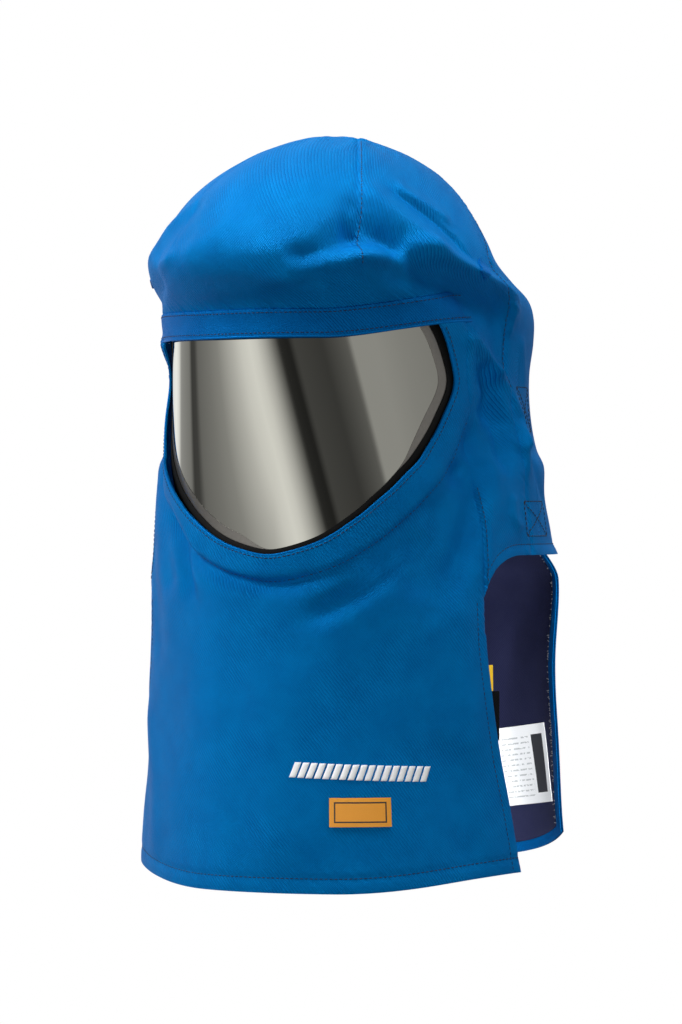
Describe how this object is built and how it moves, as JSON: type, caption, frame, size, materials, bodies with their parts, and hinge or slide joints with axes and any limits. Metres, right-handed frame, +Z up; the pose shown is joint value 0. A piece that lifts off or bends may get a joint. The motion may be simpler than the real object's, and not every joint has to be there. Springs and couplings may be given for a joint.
{
  "type": "arc flash hood",
  "caption": "Cloth arc flash hood with a curved smoke visor, brow band, long front bib, side slits and a lined back cape",
  "frame": {"origin": "the top of the head, where the hood sits, 1.5 mm below the inside of the crown", "axes": "+Z up, the face looks along -Y, +X to the wearer's left"},
  "size_m": [0.31, 0.3712, 0.5606],
  "materials": {
    "outer_cloth": "royal blue twill",
    "band_cloth": "royal blue twill, doubled",
    "seal": "matt black",
    "visor": "smoke tinted, mirror smooth",
    "lining": "navy twill",
    "label": "white satin tape",
    "tab": "yellow tape",
    "strap": "black webbing",
    "patch": "orange woven patch"
  },
  "bodies": {
    "root": {"crown_front": "outer_cloth", "side_left": "outer_cloth", "side_right": "outer_cloth", "back_panel": "outer_cloth", "brow_band": "band_cloth", "front_bib": "outer_cloth", "visor_seal": "seal", "visor": "visor", "back_cape": "outer_cloth", "cape_binding": "band_cloth", "cape_lining": "lining", "care_label": "label", "side_tab": "tab", "side_strap": "strap", "chest_patch": "patch", "welt_left": "band_cloth", "welt_right": "band_cloth"}
  },
  "joints": []
}
